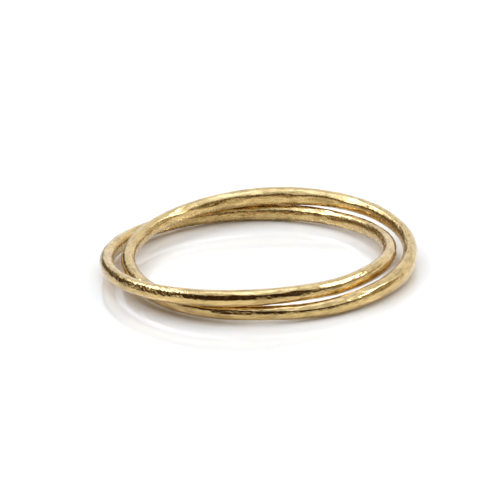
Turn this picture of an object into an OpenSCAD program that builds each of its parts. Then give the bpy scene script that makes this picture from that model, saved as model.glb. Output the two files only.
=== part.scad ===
// Two thin hammered wire bands, each one passing through the other, lying flat as a pair.
// The left band is low at the back and its front lies over the right band.
// The right band is low at the front and its back lies over the left band.

/* [Finger] */
// Inner diameter of each band, as read on a sizing stick
finger_d = 17.3; // [14:0.1:22]

/* [Wire] */
// Thickness of the left band's wire, from the finger outwards
wire_t = 0.89; // [0.8:0.01:1]
// Width of the left band's wire, along the finger
wire_w = 1; // [0.9:0.01:1.2]
// Size of the right band's wire as a share of the left one's
right_share = 1.04; // [0.9:0.01:1.1]
// Squareness of the wire's section, where 2 is an oval
squareness = 2.25; // [2:0.05:3]

/* [Lie of the pair] */
// Sideways step between the centres of the two bands
side_step = 1.42; // [1.3:0.01:1.8]
// Clear gap between the wires where one lies over the other
cross_gap = 0.11; // [0.08:0.01:0.3]

/* [Hammering] */
// Depth of the dents that the hammer left
dent = 0.022; // [0:0.001:0.03]
// Hammer blows round one band
blows = 31; // [20:1:40]

/* [Left band, by hand] */
// Ovalness of the left ring
left_oval = 0.03; // [0:0.005:0.06]
// Direction in which the left ring is long
left_oval_dir = 2; // [-90:1:90]
// Three-sided flatness of the left ring
left_lobe = 0.02; // [0:0.005:0.09]
// Direction of one lobe of the left ring
left_lobe_dir = -10; // [-60:1:60]
// Warp of the left ring out of its plane
left_warp = 0.035; // [0:0.005:0.05]
// Direction in which the left ring warps upwards
left_warp_dir = -87; // [-90:1:90]
// Share by which the left wire swells and thins
left_swell = 0.03; // [0:0.005:0.06]
// Number of thick places in the left wire
left_swells = 4; // [1:1:6]
// Direction of one thick place in the left wire
left_swell_dir = -13; // [-90:1:90]

/* [Right band, by hand] */
// Ovalness of the right ring
right_oval = 0.02; // [0:0.005:0.06]
// Direction in which the right ring is long
right_oval_dir = 87; // [-90:1:90]
// Three-sided flatness of the right ring
right_lobe = 0.05; // [0:0.005:0.09]
// Direction of one lobe of the right ring
right_lobe_dir = -53; // [-60:1:60]
// Warp of the right ring out of its plane
right_warp = 0.045; // [0:0.005:0.05]
// Direction in which the right ring warps upwards
right_warp_dir = 64; // [-90:1:90]
// Share by which the right wire swells and thins
right_swell = 0.08; // [0:0.005:0.1]
// Number of thick places in the right wire
right_swells = 3; // [1:1:6]
// Direction of one thick place in the right wire
right_swell_dir = -34; // [-90:1:90]

/* [Hidden] */
stations = 144;
section_pts = 18;
gold = [0.83, 0.7, 0.42];

// Thickness and width of each wire
left_wire = [wire_t, wire_w];
right_wire = right_share*left_wire;
// Centre line of a band, and how far in front of and behind the middle the two bands cross
function band_r(wire) = finger_d/2 + wire[0]/2;
cross_r = (band_r(left_wire) + band_r(right_wire))/2;
cross_y = sqrt(cross_r*cross_r - side_step*side_step/4);
// Each band leans by half of what lifts one wire over the other
lean = asin(((left_wire[1] + right_wire[1])/2 + cross_gap) / (2*cross_y));

// Distance of the wire's centre from the ring's middle, in the direction a
function ring_r(a, wire, oval, lobe) =
    band_r(wire) + oval[0]*cos(2*(a - oval[1])) + lobe[0]*cos(3*(a - lobe[1]));
// Height of the wire's centre over the ring's plane
function ring_z(a, warp) = warp[0]*cos(2*(a - warp[1]));
// Size of the wire along its length, as a share of its plain size
function wire_size(a, swell) = 1 + swell[0]*cos(swell[1]*(a - swell[2]));
// Height of the hammered skin over the plain section, a along the wire and b round it
function dents(a, b, turn) =
    dent*(0.6*sin(blows*a + 2*b + turn)*cos(b - 4*a) + 0.4*sin((blows - 12)*a - 3*b)*cos(2*b + 5*a + turn));
// Reach of the plain section in the direction b, for half sizes of 1
function corner(b) = pow(pow(abs(cos(b)), squareness) + pow(abs(sin(b)), squareness), -1/squareness);

// One point of a band's skin in the band's own frame
function skin(a, b, wire, oval, lobe, warp, swell, turn) =
    let (size = wire_size(a, swell), skin_up = dents(a, b, turn), reach = corner(b)*size,
         out = (wire[0]/2*reach + skin_up)*cos(b), up = (wire[1]/2*reach + skin_up)*sin(b),
         r = ring_r(a, wire, oval, lobe) + out)
    [r*cos(a), r*sin(a), ring_z(a, warp) + up];
function leaned(p, angle) = [p.x, p.y*cos(angle) - p.z*sin(angle), p.y*sin(angle) + p.z*cos(angle)];
// All points of a band, station by station, leaned about X and stepped sideways
function band_points(wire, oval, lobe, warp, swell, turn, angle, step) =
    [for (i = [0:stations - 1], j = [0:section_pts - 1])
        leaned(skin(i*360/stations, j*360/section_pts, wire, oval, lobe, warp, swell, turn), angle)
        + [step, 0, 0]];

left_points = band_points(left_wire, [left_oval, left_oval_dir], [left_lobe, left_lobe_dir],
                          [left_warp, left_warp_dir], [left_swell, left_swells, left_swell_dir],
                          40, -lean, -side_step/2);
right_points = band_points(right_wire, [right_oval, right_oval_dir], [right_lobe, right_lobe_dir],
                           [right_warp, right_warp_dir], [right_swell, right_swells, right_swell_dir],
                           200, lean, side_step/2);

// Both bands are lowered until each one just rests, and the pair is centred over the origin
function low(points, axis) = min([for (p = points) p[axis]]);
function high(points, axis) = max([for (p = points) p[axis]]);
function middle(axis) = (min(low(left_points, axis), low(right_points, axis))
                       + max(high(left_points, axis), high(right_points, axis)))/2;

function at(i, j) = (i % stations)*section_pts + j % section_pts;
band_faces = [for (i = [0:stations - 1], j = [0:section_pts - 1], half = [0:1])
    half == 0 ? [at(i, j), at(i, j + 1), at(i + 1, j + 1)] : [at(i, j), at(i + 1, j + 1), at(i + 1, j)]];

module band(points) {
    color(gold) translate([-middle(0), -middle(1), -low(points, 2)])
        polyhedron(points = points, faces = band_faces, convexity = 6);
}
module left_band() { band(left_points); }
module right_band() { band(right_points); }

left_band();
right_band();
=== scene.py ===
import math
import random

import bmesh
import bpy
import numpy as np
from mathutils import Matrix, Vector


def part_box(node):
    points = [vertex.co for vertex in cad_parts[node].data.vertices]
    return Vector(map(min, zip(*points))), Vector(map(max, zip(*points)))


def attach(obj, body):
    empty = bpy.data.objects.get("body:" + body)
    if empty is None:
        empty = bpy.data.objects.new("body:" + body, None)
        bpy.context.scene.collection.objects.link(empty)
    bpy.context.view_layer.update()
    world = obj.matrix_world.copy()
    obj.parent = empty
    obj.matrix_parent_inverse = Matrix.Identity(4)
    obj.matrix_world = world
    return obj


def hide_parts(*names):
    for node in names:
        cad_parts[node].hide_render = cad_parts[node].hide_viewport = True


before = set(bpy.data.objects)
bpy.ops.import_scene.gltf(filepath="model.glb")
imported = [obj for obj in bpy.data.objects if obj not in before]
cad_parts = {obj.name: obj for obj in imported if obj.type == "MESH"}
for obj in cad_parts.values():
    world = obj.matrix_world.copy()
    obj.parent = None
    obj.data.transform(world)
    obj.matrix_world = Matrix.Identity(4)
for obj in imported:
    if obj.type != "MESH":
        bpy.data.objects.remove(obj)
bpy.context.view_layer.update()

# The view: a long lens looks down at the pair as it lies on the table, from the front.
# The picture is tipped a little to one side, as it was taken by hand.
look_down = math.radians(21.15)
tip = math.radians(-2.53)
camera_distance = 0.22484
sensor_width = 36
focal_length = 250.67
aim = Vector((-0.000536, 0.000441, 0.00114))

camera = bpy.data.objects.new("camera", bpy.data.cameras.new("camera"))
camera.data.sensor_width = sensor_width
camera.data.lens = focal_length
camera.data.clip_start = 0.01
camera.data.clip_end = 20
sight = Vector((0, math.cos(look_down), -math.sin(look_down)))
camera.location = aim - sight * camera_distance
camera.rotation_mode = "QUATERNION"
camera.rotation_quaternion = sight.to_track_quat("-Z", "Y") @ Matrix.Rotation(tip, 4, "Z").to_quaternion()
bpy.context.scene.collection.objects.link(camera)
bpy.context.scene.camera = camera

# The left band: one length of gold wire, bent round, soldered and hammered into a ring.
# It lies low at the back, and its front passes over the right band.
# The hammer left small flats all round the wire, and a rough grain at the front left.
finger_hole = 0.0173
wire_thickness = 0.00089
wire_width = 0.001
squareness = 2.25
right_share = 1.04

# The lie of the pair: each band leans by half of what lifts one wire over the other
side_step = 0.00142
cross_gap = 0.00011
crossing_span = 0.01815
lean = math.asin((wire_width * (1 + right_share) / 2 + cross_gap) / crossing_span)

# Fineness of the mesh along the ring and round the wire
stations = 150
cuts_between = 7
wire_points = 80

# The hammering: what it takes off the skin, how soft a flat's edges are, and the light blows
hammer_loss = 0.000012
edge_softness = 0.0000025
blow_length = (0.0008, 0.0022)
blow_depth = (0.000004, 0.000022)

# Uneven skin from coarse to fine: height, cells along the ring, cells round the wire, and winding
unevenness = [(0.000007, 46, 11, 3), (0.000006, 110, 22, -5), (0.000005, 260, 26, 9)]
rough_grain = (0.000014, 400, 26, 7)

# Places and directions are in degrees: round the ring from the right, round the wire from its outer side.
# A ring is a little oval, three-sided (lobe) and warped, and its wire swells some times on the way round.
# Thick places: where round the ring, half length, and share of the wire
# Bends: where round the ring, half length, how far up and how far out
left_shape = {
    "share": 1, "lean": -lean, "step": -side_step / 2,
    "oval": 0.00003, "oval_towards": 2,
    "lobe": 0.00002, "lobe_towards": -10,
    "warp": 0.000035, "warp_towards": -87,
    "swell": 0.03, "swells": 4, "swell_at": -13,
    "thick": [(-52, 16, 0.03)],
    "bends": [(64, 13, 0.00004, 0), (-53, 13, -0.00007, 0)],
}
# Large flats that catch the light: where round the ring, where round the wire, length and depth
left_flats = [
    (64, 120, 0.0007, 0.00003),
    (54, 126, 0.0018, 0.00005),
    (-130, 14, 0.003, 0.00002),
    (-100, 16, 0.004, 0.00003),
    (-72, 15, 0.003, 0.00002),
    (-55, 39, 0.0028, 0.000014),
]
# Nicks: where round the ring, where round the wire, half length, half width and depth
left_nicks = [
    (-74.5, 36, 0.00008, 0.0002, 0.000012),
    (-66, -1, 0.0001, 0.0001, 0.00002),
    (-42, 31, 0.00007, 0.0002, 0.000015),
    (-31, 28, 0.00006, 0.00022, 0.000015),
    (-99, 4, 0.0001, 0.00006, 0.000012),
    (-94, -5, 0.00012, 0.00005, 0.000012),
]
# Rough grain: from where to where round the ring, and round the wire
left_grain = (-172, -104, -12, 62)


def centre_radius(shape):
    """Radius of the ring's centre line."""
    return finger_hole / 2 + wire_thickness * shape["share"] / 2


def turned_from(angle, start):
    """Angle from a start, at most half a turn on or back, in radians."""
    return (angle - start + math.pi) % (2 * math.pi) - math.pi


def bump_at(turn, where, half_length):
    """1 at a place round the ring, falling smoothly to 0 on both sides; the place is in degrees."""
    off = turned_from(turn, math.radians(where)) / math.radians(half_length)
    return np.exp(-off ** 2)


def plain_wire(turn, round_wire, shape):
    """Out and up sizes of the wire before it is hammered, a little full, at angles in radians."""
    size = 1 + shape["swell"] * np.cos(shape["swells"] * (turn - math.radians(shape["swell_at"])))
    for where, half_length, share in shape["thick"]:
        size = size + share * bump_at(turn, where, half_length)
    size = size * shape["share"]
    reach = (abs(np.cos(round_wire)) ** squareness
             + abs(np.sin(round_wire)) ** squareness) ** (-1 / squareness)
    out = (wire_thickness / 2 * size + hammer_loss) * reach * np.cos(round_wire)
    up = (wire_width / 2 * size + hammer_loss) * reach * np.sin(round_wire)
    return out, up


def strike(turn, out, up, blow, shape):
    """Presses one flat into the wire: the flat is deepest in its middle and runs out along the wire."""
    where, side, length, depth = blow
    where, side = math.radians(where), math.radians(side)
    along = turned_from(turn, where) * centre_radius(shape)
    skin_out, skin_up = plain_wire(where, side, shape)
    skin = skin_out * math.cos(side) + skin_up * math.sin(side)
    flat = skin - depth + depth * (2 * along / length) ** 2
    over = out * math.cos(side) + up * math.sin(side) - flat
    press = edge_softness * np.logaddexp(0, over / edge_softness)
    press = np.where(abs(along) < length, press, 0)
    return out - press * math.cos(side), up - press * math.sin(side)


def nick(turn, round_wire, mark, shape):
    """Depth of one nick at each point."""
    where, side, half_length, half_width, depth = mark
    along = turned_from(turn, math.radians(where)) * centre_radius(shape)
    across = turned_from(round_wire, math.radians(side)) * wire_thickness / 2
    return depth * np.exp(-(along / half_length) ** 2 - (across / half_width) ** 2)


def eased(share):
    """A share from 0 to 1 that starts and ends softly."""
    return share * share * (3 - 2 * share)


def dapple(turn, round_wire, pattern, seed):
    """Smooth random heights, in cells that wind round the wire as they go round the ring."""
    height, cells_along, cells_across, winding = pattern
    heights = np.random.default_rng(seed).uniform(-1, 1, (cells_along, cells_across))
    along = turn / (2 * math.pi) % 1 * cells_along
    across = (round_wire + winding * turn) / (2 * math.pi) % 1 * cells_across
    cell, row = np.floor(along).astype(int), np.floor(across).astype(int)
    along, across = eased(along - cell), eased(across - row)
    cell, row = cell % cells_along, row % cells_across
    next_cell, next_row = (cell + 1) % cells_along, (row + 1) % cells_across
    low = heights[cell, row] * (1 - along) + heights[next_cell, row] * along
    high = heights[cell, next_row] * (1 - along) + heights[next_cell, next_row] * along
    return height * (low * (1 - across) + high * across)


def grain_share(turn, round_wire, patch, full=0.6, gone=1.1):
    """1 within the full share of a patch of rough grain, falling to 0 just outside the patch."""
    if patch is None:
        return np.zeros_like(turn)
    start, end, low, high = (math.radians(angle) for angle in patch)
    off_along = abs(turn - (start + end) / 2) / ((end - start) / 2)
    off_across = abs(round_wire - (low + high) / 2) / ((high - low) / 2)
    return np.clip((gone - np.maximum(off_along, off_across)) / (gone - full), 0, 1)


def hammer_blows(seed, rounds=31, rows=8):
    """Light blows all round the ring and all round the wire."""
    dice = random.Random(seed)
    blows = []
    for place in range(rounds):
        for row in range(rows):
            where = (place + (row % 2) / 2 + dice.uniform(-0.3, 0.3)) * 360 / rounds
            side = (row + dice.uniform(-0.35, 0.35)) * 360 / rows
            blows.append((where, side, dice.uniform(*blow_length), dice.uniform(*blow_depth)))
    return blows


def spun_wire(shape):
    """A plain ring of round wire: a circle spun about the ring's axis and divided finely along it."""
    wire = bmesh.new()
    bmesh.ops.create_circle(wire, segments=wire_points, radius=wire_thickness / 2)
    bmesh.ops.rotate(wire, verts=wire.verts, matrix=Matrix.Rotation(math.radians(90), 3, "X"))
    bmesh.ops.translate(wire, verts=wire.verts, vec=(centre_radius(shape), 0, 0))
    bmesh.ops.spin(wire, geom=wire.verts[:] + wire.edges[:], cent=(0, 0, 0), axis=(0, 0, 1),
                   angle=2 * math.pi, steps=stations, use_merge=True)
    half_step = centre_radius(shape) * math.pi / stations
    lengthwise = [edge for edge in wire.edges if edge.calc_length() > half_step]
    bmesh.ops.subdivide_edges(wire, edges=lengthwise, cuts=cuts_between)
    bmesh.ops.recalc_face_normals(wire, faces=wire.faces)
    for face in wire.faces:
        face.smooth = True
    return wire


def hammered_wire(turn, round_wire, shape, flats, nicks, grain, seed):
    """Out and up sizes of the wire after the blows, with its uneven skin, grain and nicks."""
    out, up = plain_wire(turn, round_wire, shape)
    for blow in hammer_blows(seed) + flats:
        out, up = strike(turn, out, up, blow, shape)
    relief = grain * dapple(turn, round_wire, rough_grain, seed + len(unevenness))
    for layer, pattern in enumerate(unevenness):
        relief = relief + dapple(turn, round_wire, pattern, seed + layer)
    for mark in nicks:
        relief = relief - nick(turn, round_wire, mark, shape)
    return out + relief * np.cos(round_wire), up + relief * np.sin(round_wire)


def bent_round(turn, out, up, shape):
    """Places of the wire's points: the ring is bent by hand, leaned about X and stepped sideways."""
    oval = shape["oval"] * np.cos(2 * (turn - math.radians(shape["oval_towards"])))
    lobe = shape["lobe"] * np.cos(3 * (turn - math.radians(shape["lobe_towards"])))
    warp = shape["warp"] * np.cos(2 * (turn - math.radians(shape["warp_towards"])))
    for where, half_length, upwards, outwards in shape["bends"]:
        warp = warp + upwards * bump_at(turn, where, half_length)
        lobe = lobe + outwards * bump_at(turn, where, half_length)
    reach = centre_radius(shape) + oval + lobe + out
    x, y, z = reach * np.cos(turn), reach * np.sin(turn), warp + up
    cosine, sine = math.cos(shape["lean"]), math.sin(shape["lean"])
    return np.stack([x + shape["step"], y * cosine - z * sine, y * sine + z * cosine], axis=1)


def forged_ring(name, shape, flats, nicks, grain_patch, seed):
    """A ring of wire, hammered and bent. Its points keep their place round the wire and their grain."""
    wire = spun_wire(shape)
    spun = np.array([point.co for point in wire.verts])
    turn = np.arctan2(spun[:, 1], spun[:, 0])
    round_wire = np.arctan2(spun[:, 2], np.hypot(spun[:, 0], spun[:, 1]) - centre_radius(shape))
    grain = grain_share(turn, round_wire, grain_patch)
    out, up = hammered_wire(turn, round_wire, shape, flats, nicks, grain, seed)
    for point, place in zip(wire.verts, bent_round(turn, out, up, shape)):
        point.co = place

    mesh = bpy.data.meshes.new(name)
    wire.to_mesh(mesh)
    wire.free()
    across = np.stack([np.cos(round_wire), np.sin(round_wire), np.zeros_like(turn)], axis=1)
    section = mesh.attributes.new("section", "FLOAT_VECTOR", "POINT")
    section.data.foreach_set("vector", (across * wire_thickness / 2).astype(np.float32).ravel())
    roughened = mesh.attributes.new("grain", "FLOAT", "POINT")
    roughened.data.foreach_set("value", grain.astype(np.float32))
    ring = bpy.data.objects.new(name, mesh)
    bpy.context.scene.collection.objects.link(ring)
    return ring


def seat_on_node(ring, node, over_table=0):
    """Moves the ring's mesh to its CAD node: front on front, and down to a height over the table."""
    low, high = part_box(node)
    points = np.array([point.co for point in ring.data.vertices])
    middle = (points[:, 0].min() + points[:, 0].max()) / 2
    to_right = (low.x + high.x) / 2 - middle
    to_back = low.y - points[:, 1].min()
    up = low.z + over_table - points[:, 2].min()
    ring.data.transform(Matrix.Translation((to_right, to_back, up)))


# Gold: its colours where the tone is deep and where it is bright, and its clear sheen
gold_deep = (0.5, 0.335, 0.115, 1)
gold_bright = (0.74, 0.52, 0.205, 1)
sheen, sheen_roughness = 0.6, 0.2
# Roughness of the polish between the spots of the grain and on them
polish, dulled_polish = 0.09, 0.17
# What the finger's side adds to it, from one distance to another outwards from the wire's middle
finger_side_satin, satin_from, satin_to = 0.14, 0.0001, -0.0003

# Streaks: how many per metre along the wire and across it, and how deep the scratches are
tone_streaks, tone_streak_gain, tone_streak_level = (1800, 11000), 1.2, -0.55
file_marks, file_mark_depth = (700, 8000), 0.000014
fine_lines, fine_line_depth = (900, 22000), 0.000005
# Spots: how many per metre, and how deep they are
tone_spots = 900
grain_spots, grain_depth = 6500, 0.000007
rough_spots, rough_depth = 7000, 0.00003


def add(tree, kind, **values):
    """A node with its settings."""
    node = tree.nodes.new(kind)
    for key, value in values.items():
        setattr(node, key, value)
    return node


def hammered_gold(name):
    """Polished gold under a clear sheen, with file streaks along the wire, a grain and changes of tone."""
    material = bpy.data.materials.new(name)
    material.use_nodes = True
    tree = material.node_tree
    tree.nodes.clear()
    link = tree.links.new
    surface = add(tree, "ShaderNodeBsdfPrincipled")
    surface.inputs["Metallic"].default_value = 1.0
    surface.inputs["Coat Weight"].default_value = sheen
    surface.inputs["Coat Roughness"].default_value = sheen_roughness
    result = add(tree, "ShaderNodeOutputMaterial")
    link(surface.outputs["BSDF"], result.inputs["Surface"])

    place = add(tree, "ShaderNodeTexCoord")
    section = add(tree, "ShaderNodeAttribute", attribute_name="section")
    split_place = add(tree, "ShaderNodeSeparateXYZ")
    split_section = add(tree, "ShaderNodeSeparateXYZ")
    link(place.outputs["Object"], split_place.inputs[0])
    link(section.outputs["Vector"], split_section.inputs[0])
    wire_place = (split_place.outputs["X"], split_place.outputs["Y"],
                  split_section.outputs["X"], split_section.outputs["Y"])

    def noise(per_metre, detail, dimensions="3D"):
        """A noise texture of a size and a detail."""
        texture = add(tree, "ShaderNodeTexNoise", noise_dimensions=dimensions)
        texture.inputs["Scale"].default_value = per_metre
        texture.inputs["Detail"].default_value = detail
        texture.inputs["Roughness"].default_value = 0.6
        return texture

    def streaks(per_metre_along, per_metre_across):
        """Noise drawn out along the wire."""
        lines = noise(1.0, 3.0, dimensions="4D")
        joined = add(tree, "ShaderNodeCombineXYZ")
        link(joined.outputs[0], lines.inputs["Vector"])
        ends = (joined.inputs[0], joined.inputs[1], joined.inputs[2], lines.inputs["W"])
        densities = (per_metre_along,) * 2 + (per_metre_across,) * 2
        for socket, end, per_metre in zip(wire_place, ends, densities):
            times = add(tree, "ShaderNodeMath", operation="MULTIPLY")
            link(socket, times.inputs[0])
            times.inputs[1].default_value = per_metre
            link(times.outputs[0], end)
        return lines.outputs["Fac"]

    def speckle(per_metre, detail):
        """Noise of one size in all directions."""
        spots = noise(per_metre, detail)
        link(place.outputs["Object"], spots.inputs["Vector"])
        return spots.outputs["Fac"]

    def combined(operation, first, second):
        """Two values added or multiplied."""
        both = add(tree, "ShaderNodeMath", operation=operation)
        link(first, both.inputs[0])
        link(second, both.inputs[1])
        return both.outputs[0]

    def spread(value, low, high, to_low, to_high):
        """A value brought from one range to another."""
        brought = add(tree, "ShaderNodeMapRange")
        link(value, brought.inputs["Value"])
        brought.inputs["From Min"].default_value = low
        brought.inputs["From Max"].default_value = high
        brought.inputs["To Min"].default_value = to_low
        brought.inputs["To Max"].default_value = to_high
        return brought.outputs["Result"]

    # The colour changes softly from place to place, and along the streaks
    worn = add(tree, "ShaderNodeMath", operation="MULTIPLY_ADD")
    link(streaks(*tone_streaks), worn.inputs[0])
    worn.inputs[1].default_value = tone_streak_gain
    worn.inputs[2].default_value = tone_streak_level
    colour = add(tree, "ShaderNodeValToRGB")
    deep, bright = colour.color_ramp.elements
    deep.position, deep.color = 0.35, gold_deep
    bright.position, bright.color = 0.65, gold_bright
    link(combined("ADD", speckle(tone_spots, 2.0), worn.outputs[0]), colour.inputs["Fac"])
    link(colour.outputs["Color"], surface.inputs["Base Color"])

    # The grain dulls the polish, and the finger's side of the wire is satin
    grain = speckle(grain_spots, 3.0)
    shine = spread(grain, 0.3, 0.7, polish, dulled_polish)
    satin = spread(split_section.outputs["X"], satin_from, satin_to, 0.0, finger_side_satin)
    link(combined("ADD", shine, satin), surface.inputs["Roughness"])

    # The relief is finer than the mesh: file marks, fine lines, the grain, and the rough patch
    rough_patch = add(tree, "ShaderNodeAttribute", attribute_name="grain")
    rough = combined("MULTIPLY", speckle(rough_spots, 2.0), rough_patch.outputs["Fac"])
    scratches = [(streaks(*file_marks), file_mark_depth), (streaks(*fine_lines), fine_line_depth),
                 (grain, grain_depth), (rough, rough_depth)]
    normal = None
    for height, depth in scratches:
        bump = add(tree, "ShaderNodeBump")
        bump.inputs["Strength"].default_value = 1.0
        bump.inputs["Distance"].default_value = depth
        link(height, bump.inputs["Height"])
        if normal is not None:
            link(normal, bump.inputs["Normal"])
        normal = bump.outputs["Normal"]
    link(normal, surface.inputs["Normal"])
    return material


left_ring = forged_ring("left_band_gold", left_shape, left_flats, left_nicks, left_grain, seed=11)
seat_on_node(left_ring, "left_band")
left_ring.data.materials.append(hammered_gold("hammered gold"))
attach(left_ring, "left")
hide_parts("left_band")

# The right band: a second hammered ring of slightly fuller gold wire, linked through the first.
# It lies low at the front, which is bent up a little, and its back passes over the left band.
right_shape = {
    "share": right_share, "lean": lean, "step": side_step / 2,
    "oval": 0.00002, "oval_towards": 87,
    "lobe": 0.00005, "lobe_towards": -53,
    "warp": 0.000045, "warp_towards": 64,
    "swell": 0.08, "swells": 3, "swell_at": -34,
    "thick": [(-92, 19, -0.08), (86, 22, 0.05)],
    "bends": [(70, 13, 0, -0.00004), (87, 27, 0.00008, -0.00024),
              (-50, 17, 0.00008, 0), (-92, 20, 0.00012, 0)],
}
right_flats = [
    (130.8, 134, 0.0016, 0.00006),
    (50, 132, 0.0022, 0.00005),
    (-62, 52, 0.004, 0.00002),
    (-48, 30, 0.0035, 0.000025),
    (-36, 62, 0.003, 0.00002),
    (-95, 17, 0.003, 0.000012),
]
right_nicks = [
    (-30, 32, 0.00006, 0.0002, 0.000015),
]
right_over_table = 0.00004

right_ring = forged_ring("right_band_gold", right_shape, right_flats, right_nicks, None, seed=23)
seat_on_node(right_ring, "right_band", right_over_table)
right_ring.data.materials.append(left_ring.data.materials[0])
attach(right_ring, "right")
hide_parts("right_band")

# The table: a plain sheet of white acrylic that light enters a little way.
# It has a slight gloss, so that the gold shows faintly in it.
table_half_width = 1.5
sheet_white = (0.98, 0.86, 0.73, 1)
light_depth = 0.0007

sheet = bmesh.new()
bmesh.ops.create_grid(sheet, x_segments=1, y_segments=1, size=table_half_width)
table_mesh = bpy.data.meshes.new("table")
sheet.to_mesh(table_mesh)
sheet.free()
table = bpy.data.objects.new("table", table_mesh)
bpy.context.scene.collection.objects.link(table)
white_sheet = bpy.data.materials.new("white sheet")
white_sheet.use_nodes = True
sheet_surface = white_sheet.node_tree.nodes["Principled BSDF"]
sheet_surface.inputs["Base Color"].default_value = sheet_white
sheet_surface.inputs["Subsurface Weight"].default_value = 1.0
sheet_surface.inputs["Subsurface Radius"].default_value = (1.0, 1.0, 1.0)
sheet_surface.inputs["Subsurface Scale"].default_value = light_depth
sheet_surface.inputs["Roughness"].default_value = 0.1
sheet_surface.inputs["Specular IOR Level"].default_value = 1.0
table_mesh.materials.append(white_sheet)

# The light: a white cloth tent, lit most from above, with a soft box at each side.
# It is open and dark towards the camera, and two stands darken it at the left and the right.
tent_power = 0.84
# Light of the tent at some heights, which are shares of the way from level to straight up
tent_steps = [(0.0, (1.2, 1.2, 1.2)), (0.2, (1.24, 1.27, 1.31)), (0.42, (1.03, 1.08, 1.15)),
              (0.6, (1.11, 1.21, 1.43)), (0.76, (1.72, 1.93, 2.55)), (0.9, (2.4, 2.73, 3.65))]
# Dark places: turn from the camera's side, height and half sizes in degrees, and the soft edge
dark_places = [
    {"turn": -38, "height": 0, "half_width": 122, "half_height": 38, "inner": 0.75, "outer": 1.2,
     "colour": (0.05, 0.024, 0.008, 1)},
    {"turn": -112, "height": 8, "half_width": 58, "half_height": 27, "inner": 0.75, "outer": 1.1,
     "colour": (0.11, 0.075, 0.04, 1)},
    {"turn": 90, "height": 16, "half_width": 34, "half_height": 12, "inner": 0.5, "outer": 1.3,
     "colour": (0.42, 0.37, 0.28, 1)},
]
soft_box_light = (0.93, 1.0, 1.25)

world = bpy.data.worlds.new("white tent")
world.use_nodes = True
bpy.context.scene.world = world
tree = world.node_tree
tree.nodes.clear()


def calc(operation, *values):
    """One step of arithmetic in the tent's node tree; a value is a number or another step."""
    node = add(tree, "ShaderNodeMath", operation=operation)
    for slot, value in enumerate(values):
        if isinstance(value, (int, float)):
            node.inputs[slot].default_value = value
        else:
            tree.links.new(value, node.inputs[slot])
    return node.outputs[0]


def squared(value):
    """A value times itself, in the tent's node tree."""
    return calc("MULTIPLY", value, value)


direction = add(tree, "ShaderNodeTexCoord").outputs["Generated"]
split = add(tree, "ShaderNodeSeparateXYZ")
tree.links.new(direction, split.inputs[0])
height = calc("DEGREES", calc("ARCSINE", split.outputs["Z"]))
to_camera = calc("MULTIPLY", split.outputs["Y"], -1)
around = calc("DEGREES", calc("ARCTAN2", split.outputs["X"], to_camera))
tent = add(tree, "ShaderNodeValToRGB")
tree.links.new(calc("DIVIDE", height, 90), tent.inputs["Fac"])
ramp = tent.color_ramp.elements
for step, (position, light) in enumerate(tent_steps):
    element = ramp[step] if step < 2 else ramp.new(position)
    element.position = position
    element.color = (*light, 1)
shade = tent.outputs["Color"]
for place in dark_places:
    turned = calc("WRAP", calc("SUBTRACT", around, place["turn"]), 180, -180)
    sideways = calc("DIVIDE", turned, place["half_width"])
    upwards = calc("DIVIDE", calc("SUBTRACT", height, place["height"]), place["half_height"])
    away = calc("SQRT", calc("ADD", squared(sideways), squared(upwards)))
    edge = add(tree, "ShaderNodeMapRange", interpolation_type="SMOOTHSTEP")
    tree.links.new(away, edge.inputs["Value"])
    edge.inputs["From Min"].default_value = place["inner"]
    edge.inputs["From Max"].default_value = place["outer"]
    darkened = add(tree, "ShaderNodeMix", data_type="RGBA")
    tree.links.new(edge.outputs["Result"], darkened.inputs["Factor"])
    darkened.inputs["A"].default_value = place["colour"]
    tree.links.new(shade, darkened.inputs["B"])
    shade = darkened.outputs["Result"]
background = add(tree, "ShaderNodeBackground")
tree.links.new(shade, background.inputs["Color"])
background.inputs["Strength"].default_value = tent_power
world_output = add(tree, "ShaderNodeOutputWorld")
tree.links.new(background.outputs["Background"], world_output.inputs["Surface"])


def soft_box(name, turn, height, width, depth, brightness, distance=0.6):
    """A soft box at a turn from the camera's side and a height over the table, facing the rings."""
    light = bpy.data.lights.new(name, "AREA")
    light.shape = "RECTANGLE"
    light.size = width
    light.size_y = depth
    light.energy = brightness * math.pi * width * depth
    light.color = soft_box_light
    box = bpy.data.objects.new(name, light)
    turn, height = math.radians(turn), math.radians(height)
    away = Vector((math.sin(turn) * math.cos(height), -math.cos(turn) * math.cos(height), math.sin(height)))
    box.location = away * distance
    box.rotation_mode = "QUATERNION"
    box.rotation_quaternion = (-away).to_track_quat("-Z", "Y")
    bpy.context.scene.collection.objects.link(box)


soft_box("left soft box", turn=-108, height=50, width=0.6, depth=0.14, brightness=5.5)
soft_box("right soft box", turn=91, height=40, width=0.3, depth=0.1, brightness=8.0)

bpy.context.scene.view_settings.view_transform = "Standard"
bpy.context.scene.view_settings.look = "None"
